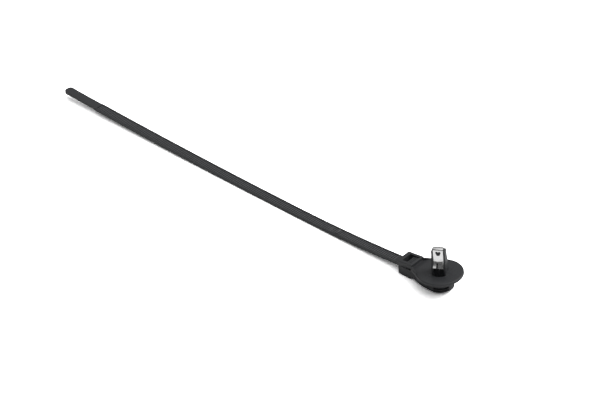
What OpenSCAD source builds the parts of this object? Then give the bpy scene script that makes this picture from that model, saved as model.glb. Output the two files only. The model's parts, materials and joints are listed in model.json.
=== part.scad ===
// Cable tie with a fixing post on its head, lying at rest on a flat surface.
// The strap, the locking head, the round flange and the post are one nylon moulding.
// A folded spring-steel clip sits over the post and holds it in a round panel hole.
// X runs along the strap towards the flange, Z is up, and the surface is at Z = 0.
// The origin is on the surface, below the middle of the part's bounding box.

/* [Strap] */
// Width of the strap
strap_width = 4.6; // [3.6:0.1:7.6]
// Thickness of the strap over its side rails
strap_thickness = 1.25; // [1:0.05:1.6]
// Length of the strap from the head to its tip, measured along the surface
strap_length = 182.4; // [130:0.1:300]
// Width of each smooth rail beside the teeth
rail_width = 0.55; // [0.3:0.05:0.9]
// Distance from one tooth to the next
tooth_pitch = 0.945; // [0.8:0.005:1.6]
// Depth of the teeth below the rails
tooth_depth = 0.45; // [0.2:0.05:0.6]
// Drop of the teeth's flat crests below the rails
crest_drop = 0.06; // [0.02:0.02:0.14]
// Smooth length between the head and the first tooth
neck_length = 3; // [1:0.5:10]
// Length of the smooth tail that is threaded into the head
tail_length = 19.2; // [10:0.1:40]
// How far each edge of the tail steps in from the strap
tail_step = 0.25; // [0:0.05:0.6]
// Radius of the two corners at the tip
tip_radius = 1.5; // [0.3:0.1:1.6]

/* [Locking head] */
// Length of the head along the strap
head_length = 7; // [6.8:0.1:10]
// Distance from the post's axis to the face where the strap starts
head_reach = 17.6; // [17:0.1:26]
// How far the frame round the slot stands above the flange
head_rise = 0.9; // [0.4:0.05:1.2]
// Radius of the head's upright corners on the strap's side
head_corner = 0.8; // [0.2:0.1:1.2]
// Length over which the shoulders beside the trough run down to the flange
shoulder_length = 5; // [3:0.1:6]
// Depth of the head below the flange's top face, on the strap's side
head_depth = 5; // [4.6:0.1:6]
// Slope of the head's underside, down towards the flange
underside_slope = 7.5; // [0:0.5:10]
// Step from the frame in to the block under it, on each side
block_step = 0.2; // [0:0.05:0.6]
// Radius of the block's two lower corners
block_corner = 1.4; // [0.4:0.1:2]
// Wall between the slot and the head's side
slot_wall = 1.3; // [0.8:0.1:2]
// Gap between the strap and each side of the slot
slot_side_gap = 0.15; // [0.05:0.05:0.5]
// Wall between the slot and the strap's root
root_wall = 1.7; // [1:0.1:2]
// Wall between the pawl's pocket and the flange
end_wall = 0.7; // [0.5:0.1:1.2]
// Depth of the strap's centre line below the flange's top face, at the head
root_drop = 1.85; // [1.6:0.05:3]

/* [Pawl] */
// Number of locking teeth on the pawl's upright face
pawl_teeth = 3; // [2:1:3]
// Number of finger ribs across the pawl's top
pawl_ribs = 3; // [2:1:3]
// Height of each finger rib
rib_height = 0.4; // [0.15:0.05:0.45]
// Slope of the pawl's top, down towards the strap
pawl_slope = 7; // [5:1:20]
// Gap that the strap has between the pawl and the root's wall, over its thickness
strap_gap = 0.2; // [0.05:0.05:0.3]
// Gap between the pawl and the pocket's sides and end wall
pawl_gap = 0.25; // [0.2:0.05:0.6]
// Thickness of the pawl's hinge
hinge_thickness = 0.9; // [0.5:0.1:1.2]

/* [Flange] */
// Diameter of the round flange that seals against the panel
flange_diameter = 17.7; // [16:0.1:24]
// Thickness of the flange at its rim
flange_thickness = 1.1; // [0.8:0.05:2]
// Depth of the dished top face at the post
dish_depth = 0.35; // [0.1:0.05:0.6]
// Width of the flat land at the rim
rim_land = 0.9; // [0.4:0.1:2]
// Depth of the trough behind the head
trough_depth = 0.7; // [0.2:0.05:0.9]
// Length of the trough behind the head
trough_length = 2.4; // [1:0.1:3]
// How far the flange's narrow end steps in from the head, on each side
neck_step = 0.2; // [0:0.05:0.5]

/* [Socket under the flange] */
// Diameter of the socket's round end
socket_diameter = 9.9; // [8.6:0.1:13]
// Depth of the socket below the flange's top face
socket_depth = 6.35; // [5.6:0.05:9]
// Wall of the socket
socket_wall = 1.8; // [0.8:0.1:1.8]
// Distance from the post's axis to where the underside starts to rise
keel_start = 5.5; // [3:0.1:6]
// Height that the underside has risen by where it meets the head
keel_rise = 1.9; // [0.5:0.1:2.5]
// Distance from the flange's top face down to the windows
window_top = 4.35; // [3.6:0.05:4.5]
// Height of each window
window_height = 0.65; // [0.5:0.05:0.8]
// Height of the groove below each window
groove_height = 0.5; // [0.2:0.05:0.5]
// Thickness of the bar between the window and the groove
window_bar = 0.3; // [0.2:0.05:0.5]
// Angle of the solid tip between the two windows
window_tip_angle = 30; // [20:1:60]
// Angle that each window spans
window_span = 74; // [30:1:76]

/* [Fixing post] */
// Diameter of the panel hole that the post is made for
panel_hole = 7; // [6.5:0.1:9]
// Gap between the post's corners and the edge of the panel hole
hole_gap = 0.08; // [0.02:0.02:0.3]
// Angle of the post's broad face from the strap's direction
post_turn = 25; // [0:1:90]
// Height of the post's cheeks above the flange's top face
cheek_height = 9.8; // [9:0.1:14]
// Width over the cheeks at their foot
cheek_width = 5.4; // [5.2:0.1:5.8]
// Width over the cheeks at the top
cheek_top_width = 5.2; // [4.6:0.1:5.2]
// Depth of the cheeks at the top, front to back
cheek_top_depth = 2.8; // [2.4:0.1:3.4]
// Height below which the cheeks have their full width
cheek_shoulder = 3; // [2:0.1:5]
// Height above which the cheeks have their top width
cheek_neck = 8.6; // [6:0.1:9]
// Thickness of the web between the cheeks
web_thickness = 1.7; // [1.4:0.1:2]
// Radius of the web's two top edges, which the clip is folded over
web_radius = 0.5; // [0.3:0.05:0.65]
// Width of the upright rib on each face of the web
web_rib_width = 0.6; // [0.3:0.1:1]
// How far that rib stands out from the web
web_rib_height = 0.5; // [0.2:0.1:0.6]
// Height of that rib's top above the flange's top face
web_rib_top = 4; // [2:0.1:4.4]
// Length of the recess in the flange, front to back across the post
recess_length = 6.6; // [6:0.1:7.6]
// Depth of the recess below the flange's top face
recess_depth = 2; // [1.5:0.1:2.6]

/* [Spring clip] */
// Width of the clip
clip_width = 3.8; // [3:0.1:3.9]
// Thickness of the spring steel
clip_thickness = 0.35; // [0.2:0.05:0.5]
// Gap between the clip's edges and the cheeks
clip_side_gap = 0.08; // [0.02:0.02:0.2]
// Height of the fold where the barbs start, above the flange
barb_fold_height = 5.2; // [4.6:0.1:6]
// Angle of the barbs from the post's axis
barb_angle = 28; // [20:1:38]
// Length of each barb along its slope
barb_length = 2.9; // [2:0.1:3.2]
// Length of the tab that one prong of each barb ends in
tab_length = 1.2; // [0.5:0.1:1.8]
// Angle by which that tab is turned out further
tab_turn = 22; // [5:1:40]
// Width of the slit between a barb's two prongs
slit_width = 0.6; // [0.3:0.05:0.8]
// Distance of the slit from the barb's middle
slit_offset = 0.4; // [0:0.05:0.5]
// Length of the slit
slit_length = 2.1; // [1:0.1:2.3]
// Size of the locating window in each leg
clip_window = 2; // [0.8:0.1:2]
// Distance from the top of the web down to the locating window's middle
clip_window_drop = 1.3; // [1.2:0.1:3]

/* [Resting pose] */
// Angle by which the head and flange lean up from the surface
lying_tilt = 7.5; // [5:0.5:10]
// Length over which the strap bows down to the surface
bow_length = 54; // [30:1:80]
// Length of the strap that lies flat on the surface, past the bow
flat_length = 5; // [2:1:30]
// Height that the tip has risen by off the surface
tail_lift = 2.7; // [0:0.1:4]

/* [Hidden] */
$fn = 72;

nylon_black = [0.16, 0.165, 0.17];
steel_bright = [0.82, 0.83, 0.84];
cut = 1;
overlap = 0.01;

// Strap, with the shares of the pitch at which a tooth's crest starts and ends
crest_start = 0.12;
crest_end = 0.42;
curve_steps = 24;
tail_width = strap_width - 2 * tail_step;
tooth_band = strap_width - 2 * rail_width;
toothed_length = strap_length - neck_length - tail_length;
tooth_count = floor(toothed_length / tooth_pitch);
tip_corner = min(tip_radius, tail_width / 2);

// Locking head, with x measured from the post's axis
slot_width = strap_width + 2 * slot_side_gap;
frame_half = slot_width / 2 + slot_wall;
block_half = frame_half - block_step;
head_far_x = -head_reach;
head_near_x = head_far_x + head_length;
slot_far_x = head_far_x + root_wall;
pocket_near_x = head_near_x - end_wall;
block_far_low = [head_far_x + block_corner, -head_depth + block_corner];
block_near_low = [
    head_near_x - block_corner,
    block_far_low[1] - (head_length - 2 * block_corner) * tan(underside_slope)];
block_depth = block_corner - block_near_low[1];

// Pawl, with shares of a finger rib's run and of a locking tooth's depth and height
rib_crest = 0.5;
rib_dip_start = 0.6;
rib_dip_end = 0.95;
lock_tooth_depth = 0.8;
lock_tooth_flank = 0.9;

// Flange
flange_r = flange_diameter / 2;
dish_r = flange_r - rim_land;
dish_sphere_r = (pow(dish_r, 2) + pow(dish_depth, 2)) / (2 * dish_depth);
outline_overlap = 1;
outline_reach = -head_near_x + outline_overlap;
neck_half = frame_half - neck_step;

// Socket
socket_r = socket_diameter / 2;
socket_floor = 1;
keel_end_x = head_near_x - outline_overlap;

// Post
web_half = web_thickness / 2;
web_top = cheek_height + web_radius / 2;
channel_width = clip_width + 2 * clip_side_gap;
cheek_half = cheek_width / 2;
cheek_top_half = cheek_top_width / 2;
cheek_half_depth = sqrt(pow(panel_hole / 2 - hole_gap, 2) - pow(cheek_half, 2));
cheek_chamfer = 0.4;
web_key = cheek_chamfer / 2;

// Lowest points of the tilted head and socket fix the height of the post's foot
function below(point) = -point[0] * sin(lying_tilt) - point[1] * cos(lying_tilt);
flange_z = max(
    below(block_far_low) + block_corner,
    below(block_near_low) + block_corner,
    below([-keel_start, -socket_depth]),
    below([socket_r, -socket_depth]));

// Ends of the part, measured along the surface from the post's foot
root_inset = root_wall / 2;
root_run = head_reach * cos(lying_tilt) + -root_drop * sin(lying_tilt);
rim_run = flange_r * cos(lying_tilt) + flange_thickness * sin(lying_tilt);
tip_run = root_run + strap_length;
flange_x = (tip_run - rim_run) / 2;

// Strap's centre line: down to the surface, a short way along it, and up to the tip
root_x = flange_x - root_run;
root_z = flange_z - head_reach * sin(lying_tilt) - root_drop * cos(lying_tilt);
bow_drop = root_z - strap_thickness / 2;
lift_start = bow_length + flat_length;
lift_length = strap_length - lift_start;
function bow_left(run) = max(0, 1 - run / bow_length);
function lift_done(run) = max(0, (run - lift_start) / lift_length);
function strap_z(run) =
    strap_thickness / 2 + bow_drop * pow(bow_left(run), 2) + tail_lift * pow(lift_done(run), 2);
function strap_slope(run) = atan(
    2 * bow_drop / bow_length * bow_left(run) - 2 * tail_lift / lift_length * lift_done(run));
// Point at a run from the root and a height above the centre line
function strap_point(run, height) = [
    root_x - run - height * sin(strap_slope(run)),
    strap_z(run) + height * cos(strap_slope(run))];

// Extrudes an outline that lies in X and Z across the part, about its middle
module across(width) {
    rotate([90, 0, 0]) linear_extrude(width, center = true) children();
}

// Puts what is built about the post's foot into its resting place
module resting() {
    translate([flange_x, 0, flange_z]) rotate([0, -lying_tilt, 0]) children();
}

// Strap

// Side outline of the strap, without teeth, a little past both its ends
module strap_side() {
    bow_runs = [for (i = [0:curve_steps]) i / curve_steps * bow_length];
    lift_runs = [for (i = [0:curve_steps])
        lift_start + i / curve_steps * (lift_length + cut)];
    runs = concat([-root_inset], bow_runs, lift_runs);
    top = [for (run = runs) strap_point(run, strap_thickness / 2)];
    bottom = [for (i = [len(runs) - 1:-1:0]) strap_point(runs[i], -strap_thickness / 2)];
    polygon(concat(top, bottom));
}

// Side outline of what is cut away between the teeth
module tooth_gaps_side() {
    above = strap_thickness / 2 + cut;
    root = strap_thickness / 2 - tooth_depth;
    crest = strap_thickness / 2 - crest_drop;
    start = neck_length;
    finish = start + tooth_count * tooth_pitch;
    teeth = [for (i = [0:tooth_count - 1]) each [
        strap_point(start + i * tooth_pitch, root),
        strap_point(start + (i + crest_start) * tooth_pitch, crest),
        strap_point(start + (i + crest_end) * tooth_pitch, crest)]];
    over = [for (i = [curve_steps:-1:0])
        strap_point(start + (finish - start) * i / curve_steps, above)];
    polygon(concat(teeth, [strap_point(finish, root)], over));
}

// Plan outline: full width along the teeth, then a narrower tail with a round tip
module strap_plan() {
    tip_x = root_x - strap_length;
    tail_x = tip_x + tail_length;
    translate([tail_x, -strap_width / 2])
        square([root_x + root_inset - tail_x, strap_width]);
    translate([tip_x + tip_corner, -tail_width / 2])
        square([tail_length, tail_width]);
    translate([tip_x, -tail_width / 2 + tip_corner])
        square([tip_corner + cut, tail_width - 2 * tip_corner + overlap]);
    for (side = [-1, 1])
        translate([tip_x + tip_corner, side * (tail_width / 2 - tip_corner)])
            circle(r = tip_corner);
}

module strap() {
    difference() {
        intersection() {
            across(strap_width + 2 * cut) strap_side();
            translate([0, 0, -cut])
                linear_extrude(max(root_z, tail_lift) + strap_thickness + 2 * cut) strap_plan();
        }
        across(tooth_band) tooth_gaps_side();
    }
}

// Locking head

// Plan of the frame and the block, with round corners on the strap's side
module head_plan(half) {
    translate([head_far_x + head_corner, -half])
        square([head_length - head_corner, 2 * half]);
    translate([head_far_x, -half + head_corner])
        square([head_corner + cut, 2 * (half - head_corner)]);
    for (side = [-1, 1])
        translate([head_far_x + head_corner, side * (half - head_corner)])
            circle(r = head_corner);
}

// Side of the block, with its two lower corners rounded and its underside sloping
module block_side() {
    top = -flange_thickness / 2;
    down = block_corner * [-sin(underside_slope), -cos(underside_slope)];
    for (centre = [block_far_low, block_near_low]) translate(centre) circle(r = block_corner);
    polygon([
        [head_far_x, top],
        [head_far_x, block_far_low[1]],
        block_far_low + down,
        block_near_low + down,
        [head_near_x, block_near_low[1]],
        [head_near_x, top]]);
}

// Side of the pawl: a lever hinged low on the end wall, with finger ribs on its
// sloping top and locking teeth on the upright face towards the strap
module pawl_side() {
    back_x = pocket_near_x - pawl_gap;
    front_x = slot_far_x + strap_thickness + strap_gap;
    top = [back_x, head_rise - rib_height / 2];
    run = back_x - front_x;
    fall = run * tan(pawl_slope);
    rib_step = [run, fall] / pawl_ribs;
    hinge_low = -head_depth + block_corner / 2;
    hinge_high = hinge_low + hinge_thickness;
    tip = [front_x, top[1] - fall - rib_height];
    toe_z = tip[1] - pawl_teeth * tooth_pitch;
    ribs = [for (i = [0:pawl_ribs - 1]) each [
        top - i * rib_step,
        top - (i + rib_crest) * rib_step,
        top - (i + rib_dip_start) * rib_step - [0, rib_height],
        top - (i + rib_dip_end) * rib_step - [0, rib_height]]];
    teeth = [for (i = [0:pawl_teeth - 1]) each [
        tip - [0, i * tooth_pitch],
        tip + [tooth_depth * lock_tooth_depth, -(i + lock_tooth_flank) * tooth_pitch]]];
    polygon(concat(
        ribs,
        teeth,
        [[tip[0] + tooth_depth, toe_z],
         [back_x, hinge_low],
         [pocket_near_x + end_wall / 2, hinge_low],
         [pocket_near_x + end_wall / 2, hinge_high],
         [back_x, hinge_high + pawl_gap]]));
}

module head() {
    difference() {
        union() {
            intersection() {
                across(2 * frame_half) block_side();
                translate([0, 0, -block_depth])
                    linear_extrude(block_depth) head_plan(block_half);
            }
            translate([0, 0, -flange_thickness])
                linear_extrude(flange_thickness + head_rise) head_plan(frame_half);
        }
        head_pocket();
    }
    across(slot_width - 2 * pawl_gap) pawl_side();
}

// Slot for the strap and pocket for the pawl, right through the head
module head_pocket() {
    translate([slot_far_x, -slot_width / 2, -block_depth - cut])
        cube([pocket_near_x - slot_far_x, slot_width, block_depth + head_rise + 2 * cut]);
}

// Flange and socket

// Round end about the origin, with straight sides that run in to the head
module drop_outline(r, half) {
    reach = outline_reach;
    turn = 180 - atan2(half, reach) - acos(r / norm([reach, half]));
    circle(r = r);
    polygon([
        [-reach, half],
        [r * cos(turn), r * sin(turn)],
        [r * cos(turn), -r * sin(turn)],
        [-reach, -half]]);
}

// Side of the shoulders that run down from the head's frame
module shoulder_side() {
    polygon([
        [head_near_x - outline_overlap, -flange_thickness],
        [head_near_x - outline_overlap, head_rise],
        [head_near_x, head_rise],
        [head_near_x + shoulder_length, 0],
        [head_near_x + shoulder_length, -flange_thickness]]);
}

module flange() {
    trough_x = head_near_x + trough_length;
    difference() {
        union() {
            translate([0, 0, -flange_thickness])
                linear_extrude(flange_thickness) drop_outline(flange_r, neck_half);
            intersection() {
                translate([0, 0, -flange_thickness])
                    linear_extrude(flange_thickness + head_rise) drop_outline(flange_r, neck_half);
                across(flange_diameter) shoulder_side();
            }
        }
        translate([0, 0, dish_sphere_r - dish_depth])
            sphere(r = dish_sphere_r, $fn = 360);
        intersection() {
            translate([0, 0, -flange_thickness])
                linear_extrude(2 * flange_thickness + head_rise)
                    drop_outline(dish_r, neck_half - rim_land);
            across(flange_diameter) polygon([
                [head_near_x, -trough_depth],
                [trough_x, 0],
                [0, 0],
                [0, head_rise + cut],
                [head_near_x, head_rise + cut]]);
        }
    }
}

// Side outline of the socket, with an underside that rises towards the head
module socket_side() {
    top = -flange_thickness / 2;
    polygon([
        [keel_end_x, top],
        [socket_r + cut, top],
        [socket_r + cut, -socket_depth],
        [-keel_start, -socket_depth],
        [keel_end_x, -socket_depth + keel_rise]]);
}

// Slice of the socket's wall that a window opens, on both sides of the tip
module window_slices(top, height) {
    reach = socket_diameter;
    for (side = [-1, 1]) {
        angles = [for (share = [0, 0.5, 1]) side * (window_tip_angle / 2 + share * window_span)];
        translate([0, 0, -top - height])
            linear_extrude(height)
                polygon(concat([[0, 0]], [for (angle = angles) reach * [cos(angle), sin(angle)]]));
    }
}

module socket() {
    groove_top = window_top + window_height + window_bar;
    difference() {
        intersection() {
            translate([0, 0, -socket_depth])
                linear_extrude(socket_depth) drop_outline(socket_r, block_half);
            across(2 * socket_diameter) socket_side();
        }
        translate([0, 0, -socket_depth - cut])
            linear_extrude(socket_depth + cut - recess_depth - socket_floor)
                drop_outline(socket_r - socket_wall, block_half - socket_wall);
        window_slices(window_top, window_height);
        window_slices(groove_top, groove_height);
    }
}

// Fixing post

// Outline of the cheeks, from the front or the side: upright foot, shoulder and neck
module cheek_outline(foot_half, top_half) {
    outline = [
        [foot_half, -recess_depth - socket_floor / 2],
        [foot_half, cheek_shoulder],
        [top_half, cheek_neck],
        [top_half, cheek_height - cheek_chamfer],
        [top_half - cheek_chamfer, cheek_height]];
    mirrored = [for (i = [len(outline) - 1:-1:0]) [-outline[i][0], outline[i][1]]];
    polygon(concat(outline, mirrored));
}

// Section of the web between the cheeks, round at the edges the clip is folded over
module web_section() {
    foot = -recess_depth - socket_floor / 2;
    translate([-web_half, foot]) square([web_thickness, web_top - web_radius - foot]);
    translate([-web_half + web_radius, foot])
        square([web_thickness - 2 * web_radius, web_top - foot]);
    for (side = [-1, 1])
        translate([side * (web_half - web_radius), web_top - web_radius])
            circle(r = web_radius);
}

module web() {
    key_width = channel_width + 2 * web_key;
    rotate([90, 0, 90]) linear_extrude(key_width, center = true) web_section();
    rib_foot = -recess_depth - socket_floor / 2;
    rib_depth = web_thickness + 2 * web_rib_height;
    translate([-web_rib_width / 2, -rib_depth / 2, rib_foot])
        cube([web_rib_width, rib_depth, web_rib_top - rib_foot]);
}

module post() {
    rotate([0, 0, post_turn]) {
        difference() {
            intersection() {
                across(2 * cheek_half_depth + 2 * cut) cheek_outline(cheek_half, cheek_top_half);
                rotate([90, 0, 90]) linear_extrude(cheek_width + 2 * cut, center = true)
                    cheek_outline(cheek_half_depth, cheek_top_depth / 2);
            }
            translate([-channel_width / 2, -cheek_half_depth - cut, -recess_depth - socket_floor])
                cube([channel_width, 2 * (cheek_half_depth + cut),
                    cheek_height + recess_depth + 2 * socket_floor]);
        }
        web();
    }
}

// Recess in the flange, as wide as the post and round at the front and the back
module recess() {
    rotate([0, 0, post_turn]) intersection() {
        translate([0, 0, -recess_depth])
            cylinder(d = recess_length, h = recess_depth + cut);
        translate([-cheek_half, -recess_length, -recess_depth])
            cube([cheek_width, 2 * recess_length, recess_depth + cut]);
    }
}

// Whole moulding
module tie_moulding() {
    color(nylon_black) {
        strap();
        resting() {
            difference() {
                union() {
                    flange();
                    socket();
                    head();
                }
                recess();
            }
            post();
        }
    }
}

// Spring clip

// Length of the locating window's point, as a share of a lobe's radius
window_point = 2.4;

// Centre line of a barb, drawn as distance from the web's middle and height
leg_offset = web_half + clip_thickness / 2;
barb_start = [leg_offset, barb_fold_height];
barb_run = [sin(barb_angle), -cos(barb_angle)];
leg_overlap = [leg_offset, barb_fold_height + clip_thickness];

// Half of the fold, just past the middle, and the flat leg below it, seated on the web
module fold_side() {
    fold_centre = [web_half - web_radius, web_top - web_radius];
    outer_radius = web_radius + clip_thickness;
    translate([-overlap, web_top]) square([fold_centre[0] + overlap, clip_thickness]);
    translate(fold_centre) intersection() {
        difference() {
            circle(r = outer_radius);
            circle(r = web_radius);
        }
        square(outer_radius);
    }
    translate([web_half, barb_fold_height])
        square([clip_thickness, fold_centre[1] - barb_fold_height]);
}

// Offsets a centre line to one side, mitred at each bend
function direction(a, b) = (b - a) / norm(b - a);
function left_of(v) = [-v[1], v[0]];
function offset_point(line, i, gap) =
    let (before = direction(line[max(i - 1, 0)], line[max(i, 1)]),
         after = direction(line[min(i, len(line) - 2)], line[min(i + 1, len(line) - 1)]),
         normal = left_of(before + after) / norm(before + after),
         mitre = gap / (normal * left_of(before)))
    line[i] + normal * mitre;
module strip_side(line) {
    half = clip_thickness / 2;
    polygon(concat(
        [for (i = [0:len(line) - 1]) offset_point(line, i, half)],
        [for (i = [len(line) - 1:-1:0]) offset_point(line, i, -half)]));
}

// Part of a leg's width: the fold, the flat and a barb along a centre line
module leg_strip(from, to, line) {
    translate([from, 0, 0]) rotate([90, 0, 90]) linear_extrude(to - from) {
        fold_side();
        strip_side(concat([leg_overlap, barb_start], line));
    }
}

// One leg: half of the fold, a flat spring, and a barb split into two prongs, of
// which one ends in a tab that is turned out further
module clip_leg() {
    half = clip_width / 2;
    barb_end = barb_start + barb_length * barb_run;
    tab_start = barb_end - tab_length * barb_run;
    tab_angle = barb_angle + tab_turn;
    tab_end = tab_start + tab_length * [sin(tab_angle), -cos(tab_angle)];
    slit_top = barb_start + (barb_length - slit_length) * barb_run;
    difference() {
        union() {
            leg_strip(slit_offset - overlap, half, [tab_start, tab_end]);
            leg_strip(-half, slit_offset, [barb_end]);
        }
        clip_window();
        translate([slit_offset - slit_width / 2, slit_top[0] - cut, barb_end[1] - cut])
            cube([slit_width, barb_length + 2 * cut, slit_top[1] - barb_end[1] + cut]);
    }
}

// Heart-shaped locating window: two round lobes over a point
module clip_window() {
    lobe = clip_window / 4;
    translate([0, web_half + clip_thickness + cut, web_top - clip_window_drop])
        rotate([90, 0, 0]) linear_extrude(clip_thickness + 2 * cut) {
            for (side = [-1, 1]) translate([side * lobe, 0]) circle(r = lobe);
            polygon([
                [-2 * lobe, 0],
                [2 * lobe, 0],
                [lobe, -window_point * lobe],
                [-lobe, -window_point * lobe]]);
        }
}

module spring_clip() {
    color(steel_bright)
        resting() rotate([0, 0, post_turn])
            for (turn = [0, 180]) rotate([0, 0, turn]) clip_leg();
}

tie_moulding();
spring_clip();
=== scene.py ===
"""Studio scene of a nylon cable tie with a fixing post and a folded spring clip.

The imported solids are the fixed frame. Each of the two parts gets a dressed copy of its
solid, with its moulded or sheared edges rounded, and a finish of its own. The tie lies
on a white table, under soft light from above and one large lamp, seen from the
photograph's angle.
"""

import json
import logging
import math
from dataclasses import dataclass, field
from enum import Enum
from typing import Any, Mapping, Optional

import bmesh
import bpy
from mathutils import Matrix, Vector


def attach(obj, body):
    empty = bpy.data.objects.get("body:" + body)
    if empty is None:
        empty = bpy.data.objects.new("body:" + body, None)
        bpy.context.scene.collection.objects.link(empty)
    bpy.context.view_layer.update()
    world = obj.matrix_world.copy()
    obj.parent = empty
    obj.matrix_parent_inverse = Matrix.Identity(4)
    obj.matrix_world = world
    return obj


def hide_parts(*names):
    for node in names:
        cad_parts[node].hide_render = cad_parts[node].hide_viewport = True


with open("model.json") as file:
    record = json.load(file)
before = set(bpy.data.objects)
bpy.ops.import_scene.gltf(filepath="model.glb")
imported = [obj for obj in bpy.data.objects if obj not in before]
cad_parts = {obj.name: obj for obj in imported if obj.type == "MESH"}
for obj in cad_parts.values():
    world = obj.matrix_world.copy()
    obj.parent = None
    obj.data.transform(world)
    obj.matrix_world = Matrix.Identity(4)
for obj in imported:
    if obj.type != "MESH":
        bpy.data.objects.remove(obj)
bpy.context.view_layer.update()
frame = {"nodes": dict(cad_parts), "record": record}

LOG = logging.getLogger("cable_tie")
MM = 0.001

Colour = tuple[float, float, float, float]


class Slot(Enum):
    """The record's material slots."""

    BLACK_NYLON = "black_nylon"
    SPRING_STEEL = "spring_steel"


class Rays(Enum):
    """Kinds of ray to which the table and the room can look whiter than they are."""

    CAMERA = "Is Camera Ray"
    GLOSSY = "Is Glossy Ray"
    TRANSMISSION = "Is Transmission Ray"


def linear(code: str) -> Colour:
    """Turns an sRGB hex colour to linear.

    Args:
        code: Colour such as "#1c1d1f".

    Returns:
        Linear red, green and blue, and an alpha of 1.
    """
    parts = [int(code[i : i + 2], 16) / 255 for i in (1, 3, 5)]
    low, slope, shift, power = 0.04045, 12.92, 0.055, 2.4
    red, green, blue = (
        c / slope if c <= low else ((c + shift) / (1 + shift)) ** power for c in parts
    )
    return red, green, blue, 1.0


def add_node(
    tree: bpy.types.NodeTree,
    kind: str,
    inputs: Optional[Mapping[Any, Any]] = None,
    **settings: Any,
) -> bpy.types.Node:
    """Adds a node with its settings and links.

    Args:
        tree: Node tree that gets the node.
        kind: Blender's name of the node type.
        inputs: Socket by name or number, and the value or the output that feeds it.
        **settings: Properties of the node.

    Returns:
        The new node.
    """
    node = tree.nodes.new(kind)
    for name, value in settings.items():
        setattr(node, name, value)
    for key, value in (inputs or {}).items():
        if isinstance(value, bpy.types.NodeSocket):
            tree.links.new(value, node.inputs[key])
        else:
            node.inputs[key].default_value = value
    return node


def new_material(name: str) -> tuple[bpy.types.Material, bpy.types.NodeTree]:
    """Makes a material with an empty node tree.

    Args:
        name: Name of the material.

    Returns:
        The material and its tree.
    """
    material = bpy.data.materials.new(name)
    material.use_nodes = True
    material.node_tree.nodes.clear()
    return material, material.node_tree


def per_metre(size_mm: float) -> float:
    """Returns the scale of a noise pattern whose features are this size."""
    return 1 / (size_mm * MM)


@dataclass(frozen=True)
class ToothBand:
    """The strap's teeth: where they lie between the rails, seen from above.

    The root is where the strap leaves the head. The first tooth is the one next to the
    smooth neck, and the last one is next to the tail. A face whose normal rises at
    least as steeply as crest_up is the flat top of a tooth.
    """

    highlight_mark_name: str = "tooth_crest_highlight"
    half_mm: float = 1.77
    root_mm: float = 78.1
    first_mm: float = 75.1
    last_mm: float = -84.6
    crest_up: float = 0.93

    def holds(self, place: Vector) -> bool:
        """Returns whether a point lies between the rails, neck and tail included."""
        return abs(place.y) < self.half_mm * MM and place.x < self.root_mm * MM

    def is_crest(self, face: bmesh.types.BMFace) -> bool:
        """Returns whether a face is the flat top of a tooth."""
        return face.normal.z > self.crest_up and all(
            self.holds(vertex.co)
            and self.last_mm * MM < vertex.co.x < self.first_mm * MM
            for vertex in face.verts
        )

    def mark(self, solid: bmesh.types.BMesh) -> None:
        """Gives the teeth's crests an attribute of 1, and all other faces 0. The
        attribute places the painted highlight.

        Args:
            solid: Rounded mesh of the part.
        """
        solid.normal_update()
        layer = solid.faces.layers.float.new(self.highlight_mark_name)
        for face in solid.faces:
            face[layer] = float(self.is_crest(face))


TEETH = ToothBand()


@dataclass(frozen=True)
class Finish:
    """What a part's surface is made of, and how it was made."""

    name: str
    colour: str

    def material(self) -> bpy.types.Material:
        """Builds the finish.

        Returns:
            The material.
        """
        material, tree = new_material(self.name)
        shader = add_node(tree, "ShaderNodeBsdfPrincipled", self.surface(tree))
        add_node(
            tree, "ShaderNodeOutputMaterial", {"Surface": shader.outputs["BSDF"]}
        )
        return material

    def surface(self, tree: bpy.types.NodeTree) -> dict[str, Any]:
        """Builds the patterns of the surface.

        Args:
            tree: Node tree that gets the patterns.

        Returns:
            What feeds the shader, by the name of its socket.
        """
        raise NotImplementedError


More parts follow.
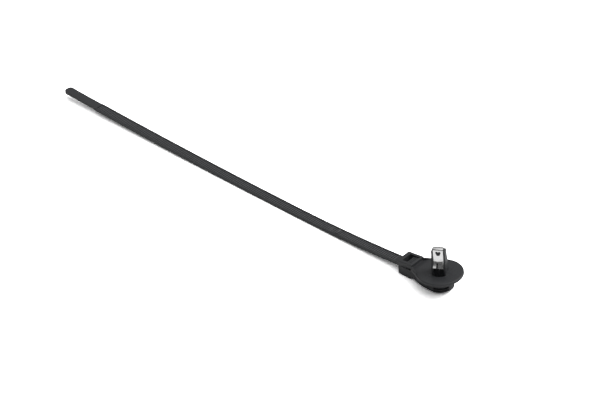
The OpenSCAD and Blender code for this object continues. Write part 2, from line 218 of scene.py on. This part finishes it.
@dataclass(frozen=True)
class MouldedNylon(Finish):
    """Polyamide 66, dyed black in the melt and injection moulded.

    The mould's spark-eroded faces leave a fine grain, so that its shine is broad and
    soft. Such a grain is usually finer than 0.1 mm and is drawn coarser, so that it
    shows. The melt's flow leaves faint long clouds in the shine, and the grain is a
    little smoother in some places than in others. The crests of the strap's teeth get
    a painted highlight, a paler colour matched by tone to the photograph. It stands in
    for the light that makes the teeth look brighter there, whose cause on the real
    part is not known.
    """

    name: str = "black_moulded_nylon"
    colour: str = "#2d2e30"
    clouded: str = "#323335"
    # Painted highlight: the colour of the teeth's crests
    crest_highlight: str = "#5c5d5f"
    ior: float = 1.53
    shine: float = 0.32
    smooth: float = 0.42
    rough: float = 0.54
    grain_mm: float = 0.16
    grain_detail: float = 2.0
    grain_depth_mm: float = 0.006
    grain_strength: float = 0.35
    flow_mm: float = 9.0
    flow_detail: float = 3.0
    flow_stretch: float = 0.3

    def surface(self, tree: bpy.types.NodeTree) -> dict[str, Any]:
        """Builds the flow's clouds, the mould's grain and the painted highlight on the
        crests.

        Args:
            tree: Node tree that gets the patterns.

        Returns:
            What feeds the shader, by the name of its socket.
        """
        place = add_node(tree, "ShaderNodeTexCoord").outputs["Object"]
        along = add_node(
            tree,
            "ShaderNodeMapping",
            {"Vector": place, "Scale": (self.flow_stretch, 1, 1)},
        ).outputs["Vector"]
        flow = add_node(
            tree,
            "ShaderNodeTexNoise",
            {
                "Vector": along,
                "Scale": per_metre(self.flow_mm),
                "Detail": self.flow_detail,
            },
        ).outputs["Fac"]
        grain = add_node(
            tree,
            "ShaderNodeTexNoise",
            {
                "Vector": place,
                "Scale": per_metre(self.grain_mm),
                "Detail": self.grain_detail,
            },
        ).outputs["Fac"]
        crest_highlight_share = add_node(
            tree, "ShaderNodeAttribute", attribute_name=TEETH.highlight_mark_name
        ).outputs["Fac"]
        # Of a colour mix, input 0 is the share, 6 and 7 the colours, and output 2
        # the mixed colour
        moulded = add_node(
            tree,
            "ShaderNodeMix",
            {0: flow, 6: linear(self.colour), 7: linear(self.clouded)},
            data_type="RGBA",
        ).outputs[2]
        # Painted highlight: the teeth's crests take the paler colour
        colour = add_node(
            tree,
            "ShaderNodeMix",
            {0: crest_highlight_share, 6: moulded, 7: linear(self.crest_highlight)},
            data_type="RGBA",
        ).outputs[2]
        roughness = add_node(
            tree,
            "ShaderNodeMapRange",
            {"Value": flow, "To Min": self.smooth, "To Max": self.rough},
        ).outputs["Result"]
        bump = add_node(
            tree,
            "ShaderNodeBump",
            {
                "Height": grain,
                "Strength": self.grain_strength,
                "Distance": self.grain_depth_mm * MM,
            },
        ).outputs["Normal"]
        return {
            "Base Color": colour,
            "Roughness": roughness,
            "Normal": bump,
            "IOR": self.ior,
            "Specular IOR Level": self.shine,
        }


@dataclass(frozen=True)
class RolledSpringSteel(Finish):
    """Bright stainless spring steel, cold rolled to strip and then stamped and folded.

    The rolls leave fine lines along the strip, which run up each leg and over the
    fold. Such lines are usually a few hundredths of a millimetre apart and are drawn
    coarser, so that they show. They spread a reflection across the strip, and the
    metal is otherwise as bright as a worn mirror.
    """

    name: str = "bright_spring_steel"
    colour: str = "#dcdcdd"
    stained: str = "#d2d2d1"
    smooth: float = 0.16
    rough: float = 0.28
    line_mm: float = 0.09
    line_detail: float = 2.0
    line_stretch: float = 0.05
    line_depth_mm: float = 0.002
    line_strength: float = 0.2
    stain_mm: float = 2.5
    stain_detail: float = 3.0
    turn_deg: float = 25.0

    def surface(self, tree: bpy.types.NodeTree) -> dict[str, Any]:
        """Builds the rolls' lines and the faint stains.

        Args:
            tree: Node tree that gets the patterns.

        Returns:
            What feeds the shader, by the name of its socket.
        """
        place = add_node(tree, "ShaderNodeTexCoord").outputs["Object"]
        # Turned as the clip stands, and drawn out up its legs
        upright = add_node(
            tree,
            "ShaderNodeMapping",
            {
                "Vector": place,
                "Rotation": (0, 0, math.radians(-self.turn_deg)),
                "Scale": (1, 1, self.line_stretch),
            },
        ).outputs["Vector"]
        lines = add_node(
            tree,
            "ShaderNodeTexNoise",
            {
                "Vector": upright,
                "Scale": per_metre(self.line_mm),
                "Detail": self.line_detail,
            },
        ).outputs["Fac"]
        stain = add_node(
            tree,
            "ShaderNodeTexNoise",
            {
                "Vector": place,
                "Scale": per_metre(self.stain_mm),
                "Detail": self.stain_detail,
            },
        ).outputs["Fac"]
        colour = add_node(
            tree,
            "ShaderNodeMix",
            {0: stain, 6: linear(self.colour), 7: linear(self.stained)},
            data_type="RGBA",
        ).outputs[2]
        roughness = add_node(
            tree,
            "ShaderNodeMapRange",
            {"Value": stain, "To Min": self.smooth, "To Max": self.rough},
        ).outputs["Result"]
        bump = add_node(
            tree,
            "ShaderNodeBump",
            {
                "Height": lines,
                "Strength": self.line_strength,
                "Distance": self.line_depth_mm * MM,
            },
        ).outputs["Normal"]
        return {
            "Base Color": colour,
            "Metallic": 1.0,
            "Roughness": roughness,
            "Normal": bump,
        }


class PostFrame:
    """Places measured from the post's foot, on the flange's top face.

    The record's post mount gives the foot and the post's axis. X runs along the part
    and Z up the post, both in millimetres.
    """

    def __init__(self, record: Mapping[str, Any]) -> None:
        """Reads the mount.

        Args:
            record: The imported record.
        """
        mount = next(m for m in record["mounts"] if m["name"] == "hole_post")
        self.foot = Vector(mount["pos_m"])
        self.up = Vector(mount["axis"]).normalized()
        self.along = Vector((0, 1, 0)).cross(self.up)

    def place(self, point: Vector) -> Vector:
        """Returns a point's place in this frame, in millimetres."""
        step = (point - self.foot) / MM
        return Vector((step.dot(self.along), step.y, step.dot(self.up)))


@dataclass(kw_only=True)
class Rounding:
    """One radius of edge, and the edges that have it.

    An edge shorter than short_share times the width stays sharp.
    """

    width_mm: float
    segments: int = 2
    short_share: float = 2.2

    def takes(self, edge: bmesh.types.BMEdge) -> bool:
        """Returns whether an edge gets this rounding."""
        return True


@dataclass(kw_only=True)
class RimRounding(Rounding):
    """The soft top edge of the drop-shaped flange.

    The outline is an arc round the post and two straight flanks that leave it along
    its tangents. They end beside the head, neck_reach_mm behind the post.
    """

    post: PostFrame
    segments: int = 4
    short_share: float = 0.0
    radius_mm: float = 8.85
    neck_half_mm: float = 3.55
    neck_reach_mm: float = 11.6
    neck_margin_mm: float = 0.3
    top_mm: float = -0.02
    near_mm: float = 0.02

    def takes(self, edge: bmesh.types.BMEdge) -> bool:
        """Returns whether an edge lies on the rim's top outline."""
        return all(self.on_outline(self.post.place(v.co)) for v in edge.verts)

    def tangent_point(self) -> tuple[float, float]:
        """Returns where a flank leaves the arc, along the part and across it."""
        neck_far = math.hypot(self.neck_half_mm, self.neck_reach_mm)
        angle = (
            math.pi
            - math.atan2(self.neck_half_mm, self.neck_reach_mm)
            - math.acos(self.radius_mm / neck_far)
        )
        return self.radius_mm * math.cos(angle), self.radius_mm * math.sin(angle)

    def on_outline(self, place: Vector) -> bool:
        """Tests a point against the drop-shaped outline.

        Args:
            place: Point in the post's frame, in millimetres.

        Returns:
            Whether the point is on the outline, at the top.
        """
        if place.z < self.top_mm or place.x < self.neck_margin_mm - self.neck_reach_mm:
            return False
        width = abs(place.y)
        leave_x, leave_y = self.tangent_point()
        if place.x >= leave_x:
            return abs(math.hypot(place.x, width) - self.radius_mm) < self.near_mm
        share = (leave_x - place.x) / (leave_x + self.neck_reach_mm)
        line = leave_y + share * (self.neck_half_mm - leave_y)
        return abs(width - line) < self.near_mm


@dataclass(kw_only=True)
class FrameRounding(Rounding):
    """The outer top edges of the frame round the slot, with their corners."""

    post: PostFrame
    segments: int = 3
    short_share: float = 0.0
    half_mm: float = 3.75
    far_mm: float = -17.6
    corner_mm: float = 0.85
    top_mm: float = 0.9
    near_mm: float = 0.05

    def takes(self, edge: bmesh.types.BMEdge) -> bool:
        """Returns whether an edge lies on the frame's outer top outline."""
        return all(self.on_outline(self.post.place(v.co)) for v in edge.verts)

    def on_outline(self, place: Vector) -> bool:
        """Tests a point against the frame's outline.

        Args:
            place: Point in the post's frame, in millimetres.

        Returns:
            Whether the point is on a side, the far end or a rounded corner between
            them, at the top.
        """
        on_side = abs(place.y) > self.half_mm - self.near_mm
        on_end = place.x < self.far_mm + self.near_mm
        on_corner = (
            abs(place.y) > self.half_mm - self.corner_mm
            and place.x < self.far_mm + self.corner_mm
        )
        at_top = abs(place.z - self.top_mm) < self.near_mm
        return at_top and (on_side or on_end or on_corner)


@dataclass(kw_only=True)
class ToothRounding(Rounding):
    """The small edges of the strap's teeth and of the rails beside them."""

    segments: int = 1

    def takes(self, edge: bmesh.types.BMEdge) -> bool:
        """Returns whether an edge lies between the strap's rails."""
        return all(TEETH.holds(vertex.co) for vertex in edge.verts)


@dataclass(kw_only=True)
class BodyRounding(Rounding):
    """All edges but the small ones of the teeth."""

    teeth: ToothRounding

    def takes(self, edge: bmesh.types.BMEdge) -> bool:
        """Returns whether an edge is left for this rounding."""
        return not self.teeth.takes(edge)


@dataclass
class DressedPart:
    """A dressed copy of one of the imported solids.

    Its flat faces are made whole again, its edges are rounded as the mould or the
    shears leave them, and it is shaded smooth. Edges under sharp_deg stay as they are,
    and those over smooth_deg stay sharp in the shading.
    """

    node: str
    name: str
    slot: Slot
    finish: Finish
    roundings: list[Rounding]
    teeth: Optional[ToothBand] = None
    weld_mm: float = 0.002
    flat_deg: float = 0.05
    sharp_deg: float = 28.0
    smooth_deg: float = 50.0

    def build(self) -> bpy.types.Object:
        """Makes the piece, hangs it under the root body and hides the imported solid.

        Returns:
            The finished piece.
        """
        mesh = self.rounded_mesh()
        mesh.materials.append(self.finish.material())
        piece = bpy.data.objects.new(self.name, mesh)
        bpy.context.scene.collection.objects.link(piece)
        weighted = piece.modifiers.new("flat faces stay flat", "WEIGHTED_NORMAL")
        weighted.keep_sharp = True
        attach(piece, "root")
        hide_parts(self.node)
        LOG.info("%s: %d faces", self.name, len(mesh.polygons))
        return piece

    def rounded_mesh(self) -> bpy.types.Mesh:
        """Copies the solid's mesh, welds it and rounds its edges.

        Returns:
            The new mesh, in metres, in its place.
        """
        solid = bmesh.new()
        solid.from_mesh(frame["nodes"][self.node].data)
        bmesh.ops.remove_doubles(solid, verts=solid.verts, dist=self.weld_mm * MM)
        bmesh.ops.dissolve_limit(
            solid,
            angle_limit=math.radians(self.flat_deg),
            verts=solid.verts,
            edges=solid.edges,
        )
        self.round_edges(solid)
        # Marks the faces that get the painted highlight
        if self.teeth:
            self.teeth.mark(solid)
        mesh = bpy.data.meshes.new(self.name)
        solid.to_mesh(mesh)
        solid.free()
        mesh.shade_smooth()
        mesh.set_sharp_from_angle(angle=math.radians(self.smooth_deg))
        return mesh

    def round_edges(self, solid: bmesh.types.BMesh) -> None:
        """Rounds each sharp edge that has room for it, the widest roundings first.

        Args:
            solid: Welded mesh of the part.
        """
        for rounding in self.roundings:
            width = rounding.width_mm * MM
            chosen = [
                edge
                for edge in solid.edges
                if edge.is_manifold
                and edge.calc_face_angle(0) > math.radians(self.sharp_deg)
                and edge.calc_length() > rounding.short_share * width
                and rounding.takes(edge)
            ]
            LOG.info("%s: %d edges at %g mm", self.name, len(chosen), rounding.width_mm)
            bmesh.ops.bevel(
                solid,
                geom=chosen,
                offset=width,
                offset_type="OFFSET",
                segments=rounding.segments,
                profile=0.5,
                affect="EDGES",
                material=-1,
                clamp_overlap=False,
                loop_slide=True,
            )


@dataclass
class Lamp:
    """A square soft lamp that looks at the middle of the table."""

    name: str
    place_mm: tuple[float, float, float]
    side_mm: float
    watts: float

    def build(self) -> None:
        """Adds the lamp."""
        data = bpy.data.lights.new(self.name, "AREA")
        data.shape = "SQUARE"
        data.size = self.side_mm * MM
        data.energy = self.watts
        lamp = bpy.data.objects.new(self.name, data)
        lamp.location = Vector(self.place_mm) * MM
        lamp.rotation_euler = (-lamp.location).to_track_quat("-Z", "Y").to_euler()
        bpy.context.scene.collection.objects.link(lamp)


@dataclass
class PhotoCamera:
    """Camera at the photograph's place, found from the strap, the flange and the post.

    The target is the point of the table in the middle of the photograph. The azimuth is
    the direction from there to the camera, from +X towards +Y.
    """

    target_mm: tuple[float, float] = (20.254, 7.649)
    azimuth_deg: float = -48.986
    elevation_deg: float = 35.621
    distance_mm: float = 759.89
    focal_px: float = 1928.3
    photo_width_px: int = 600
    sensor_mm: float = 36.0
    nearest_m: float = 0.01
    farthest_m: float = 20.0

    def build(self) -> None:
        """Adds the camera and makes it the scene's."""
        azimuth = math.radians(self.azimuth_deg)
        elevation = math.radians(self.elevation_deg)
        out = Vector(
            (
                math.cos(elevation) * math.cos(azimuth),
                math.cos(elevation) * math.sin(azimuth),
                math.sin(elevation),
            )
        )
        data = bpy.data.cameras.new("photo_camera")
        data.sensor_fit = "HORIZONTAL"
        data.sensor_width = self.sensor_mm
        data.lens = self.focal_px / self.photo_width_px * self.sensor_mm
        data.clip_start, data.clip_end = self.nearest_m, self.farthest_m
        camera = bpy.data.objects.new("photo_camera", data)
        camera.location = (Vector((*self.target_mm, 0)) + out * self.distance_mm) * MM
        camera.rotation_euler = out.to_track_quat("Z", "Y").to_euler()
        bpy.context.scene.collection.objects.link(camera)
        bpy.context.scene.camera = camera


@dataclass
class Studio:
    """White table, room light and lamps.

    The table's colour is table_white for the light that it sends to the object. For
    each kind of ray in table_gain it is raised by that much, past 1 for the camera, so
    that the table looks white and keeps its shadow. Shiny surfaces also reflect it
    brighter. The room's light rises from room_low, at window_edge and lower, to
    room_high, straight towards the window overhead.
    """

    table_mm: float = 3000.0
    table_white: float = 0.6
    table_gain: dict[Rays, float] = field(
        default_factory=lambda: {
            Rays.CAMERA: 1.9,
            Rays.GLOSSY: 0.45,
            Rays.TRANSMISSION: 0.45,
        }
    )
    window: tuple[float, float, float] = (0.19, 0.17, 0.967)
    window_edge: float = 0.25
    room_low: float = 0.1
    room_high: float = 1.6
    lamps: list[Lamp] = field(
        default_factory=lambda: [
            Lamp("softbox_right", (378.0, 378.0, 595.0), 350.0, 2.6),
        ]
    )

    def build(self) -> None:
        """Adds the table, the room's light and the lamps."""
        self.table()
        self.room()
        for lamp in self.lamps:
            lamp.build()
        scene = bpy.context.scene
        scene.view_settings.view_transform = "Standard"
        LOG.info("studio: table, room light and %d lamps", len(self.lamps))

    def table(self) -> None:
        """Adds the table's top, which is white to the eye and keeps the shadow."""
        material, tree = new_material("white_table")
        path = add_node(tree, "ShaderNodeLightPath")
        white: Any = self.table_white
        for ray, gain in self.table_gain.items():
            white = add_node(
                tree,
                "ShaderNodeMath",
                {0: path.outputs[ray.value], 1: gain, 2: white},
                operation="MULTIPLY_ADD",
            ).outputs["Value"]
        paper = add_node(tree, "ShaderNodeBsdfDiffuse", {"Color": white})
        add_node(tree, "ShaderNodeOutputMaterial", {"Surface": paper.outputs["BSDF"]})
        top = bmesh.new()
        bmesh.ops.create_grid(
            top, x_segments=1, y_segments=1, size=self.table_mm * MM
        )
        mesh = bpy.data.meshes.new("table_top")
        top.to_mesh(mesh)
        top.free()
        mesh.materials.append(material)
        table = bpy.data.objects.new("table_top", mesh)
        bpy.context.scene.collection.objects.link(table)

    def room(self) -> None:
        """Lights the room, which looks white but is reflected as it lights."""
        world = bpy.data.worlds.new("photo_room")
        world.use_nodes = True
        tree = world.node_tree
        tree.nodes.clear()
        direction = add_node(tree, "ShaderNodeTexCoord").outputs["Generated"]
        facing = add_node(
            tree,
            "ShaderNodeVectorMath",
            {0: direction, 1: self.window},
            operation="DOT_PRODUCT",
        )
        level = add_node(
            tree,
            "ShaderNodeMapRange",
            {
                "Value": facing.outputs["Value"],
                "From Min": self.window_edge,
                "From Max": 1.0,
                "To Min": self.room_low,
                "To Max": self.room_high,
            },
        ).outputs["Result"]
        lit = add_node(tree, "ShaderNodeBackground", {"Strength": level})
        white = add_node(tree, "ShaderNodeBackground", {"Strength": 1.0})
        path = add_node(tree, "ShaderNodeLightPath")
        seen = add_node(
            tree,
            "ShaderNodeMath",
            {
                0: path.outputs[Rays.CAMERA.value],
                1: path.outputs[Rays.TRANSMISSION.value],
            },
            operation="MAXIMUM",
        ).outputs["Value"]
        both = add_node(
            tree,
            "ShaderNodeMixShader",
            {0: seen, 1: lit.outputs["Background"], 2: white.outputs["Background"]},
        )
        add_node(tree, "ShaderNodeOutputWorld", {"Surface": both.outputs["Shader"]})
        bpy.context.scene.world = world


def parts() -> list[DressedPart]:
    """Returns the object's two parts, each with its finish."""
    post = PostFrame(frame["record"])
    teeth = ToothRounding(width_mm=0.02)
    return [
        DressedPart(
            node="tie_moulding",
            name="tie_moulding_rounded",
            slot=Slot.BLACK_NYLON,
            finish=MouldedNylon(),
            roundings=[
                RimRounding(width_mm=0.4, post=post),
                FrameRounding(width_mm=0.2, post=post),
                BodyRounding(width_mm=0.1, teeth=teeth),
                teeth,
            ],
            teeth=TEETH,
        ),
        DressedPart(
            node="spring_clip",
            name="spring_clip_rounded",
            slot=Slot.SPRING_STEEL,
            finish=RolledSpringSteel(),
            roundings=[Rounding(width_mm=0.03)],
        ),
    ]


def main() -> None:
    """Builds the parts, the studio and the camera, in that order."""
    logging.basicConfig(level=logging.INFO, format="%(name)s: %(message)s")
    for part in parts():
        part.build()
    Studio().build()
    PhotoCamera().build()


if __name__ == "__main__":
    main()
